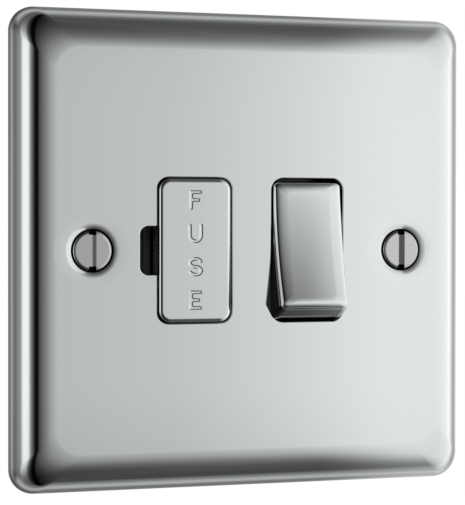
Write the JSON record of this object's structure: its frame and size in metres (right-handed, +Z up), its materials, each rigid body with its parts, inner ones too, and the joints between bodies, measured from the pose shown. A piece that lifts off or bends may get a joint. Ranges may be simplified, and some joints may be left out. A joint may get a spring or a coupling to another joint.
{
  "type": "switched fused connection unit",
  "caption": "Square chrome wall plate with a rolled edge, a pull-out fuse carrier beside a rocker switch, and a terminal housing behind for a flush wall box.",
  "frame": {"origin": "centre of the plate's rim, on the wall surface", "axes": "+X right and +Z up as seen from the room, +Y into the wall"},
  "size_m": [0.088, 0.0325, 0.088],
  "materials": {
    "chrome_plate": "polished chrome on pressed steel",
    "chrome_trim": "polished chrome on zinc",
    "chrome_screw": "polished chrome on steel",
    "zinc_steel": "bright zinc",
    "black_moulding": "black, fine satin moulding",
    "housing_moulding": "black, satin moulding",
    "ceramic": "off-white glazed ceramic",
    "nickel": "nickel plated brass",
    "brass": "bright rolled brass",
    "copper": "copper strip",
    "silver": "silver alloy",
    "spring_steel": "drawn wire",
    "nylon": "natural nylon",
    "plated_screw": "nickel plated"
  },
  "bodies": {
    "unit": {"front_plate": "chrome_plate", "plate_studs": "zinc_steel", "plate_nuts": "zinc_steel", "liner_frame": "black_moulding", "rear_housing": "housing_moulding", "housing_screws": "zinc_steel", "fixing_screws": "chrome_screw", "supply_fuse_clip": "brass", "load_fuse_clip": "brass", "fulcrum_line": "brass", "fulcrum_neutral": "brass", "neutral_contact_strip": "brass", "fixed_contact_tips": "silver", "load_line_terminal": "brass", "supply_line_terminal": "brass", "supply_neutral_terminal": "brass", "load_neutral_terminal": "brass", "supply_earth_terminal": "brass", "load_earth_terminal": "brass", "terminal_screws": "plated_screw", "earth_strap": "brass"},
    "fuse_carrier": {"fuse_carrier_face": "chrome_trim", "fuse_carrier_body": "black_moulding", "fuse_tube": "ceramic", "fuse_cap_upper": "nickel", "fuse_cap_lower": "nickel"},
    "rocker": {"rocker_cap": "chrome_trim", "rocker_cradle": "black_moulding", "plunger_spring_line": "spring_steel", "plunger_spring_neutral": "spring_steel"},
    "line_plunger": {"plunger_line": "nylon"},
    "neutral_plunger": {"plunger_neutral": "nylon"},
    "line_seesaw": {"contact_lever_line": "copper", "lever_tip_line": "silver"},
    "neutral_seesaw": {"contact_lever_neutral": "copper", "lever_tip_neutral": "silver"}
  },
  "joints": [
    {"name": "rocker_tilt", "type": "hinge", "parent": "unit", "child": "rocker", "pos_m": [0.011, -0.0044, 0], "axis": [1, 0, 0], "range_deg": [0, 23]},
    {"name": "fuse_carrier_pull", "type": "slide", "parent": "unit", "child": "fuse_carrier", "axis": [0, -1, 0], "range_m": [0, 0.024]},
    {"name": "line_seesaw_tilt", "type": "hinge", "parent": "unit", "child": "line_seesaw", "pos_m": [0.0077, 0.0037, 0], "axis": [1, 0, 0], "range_deg": [-14, 0]},
    {"name": "neutral_seesaw_tilt", "type": "hinge", "parent": "unit", "child": "neutral_seesaw", "pos_m": [0.0143, 0.0037, 0], "axis": [1, 0, 0], "range_deg": [-14, 0]},
    {"name": "line_plunger_press", "type": "slide", "parent": "rocker", "child": "line_plunger", "axis": [0, -0.9799, 0.1994], "range_m": [0, 0.0006], "stiffness_N_per_m": 400, "springref_m": -0.001, "deforming": ["plunger_spring_line"]},
    {"name": "neutral_plunger_press", "type": "slide", "parent": "rocker", "child": "neutral_plunger", "axis": [0, -0.9799, 0.1994], "range_m": [0, 0.0006], "stiffness_N_per_m": 400, "springref_m": -0.001, "deforming": ["plunger_spring_neutral"]}
  ],
  "couplings": [
    {"joint": "line_seesaw_tilt", "follows": "rocker_tilt", "ratio": -0.6087},
    {"joint": "neutral_seesaw_tilt", "follows": "rocker_tilt", "ratio": -0.6087}
  ]
}
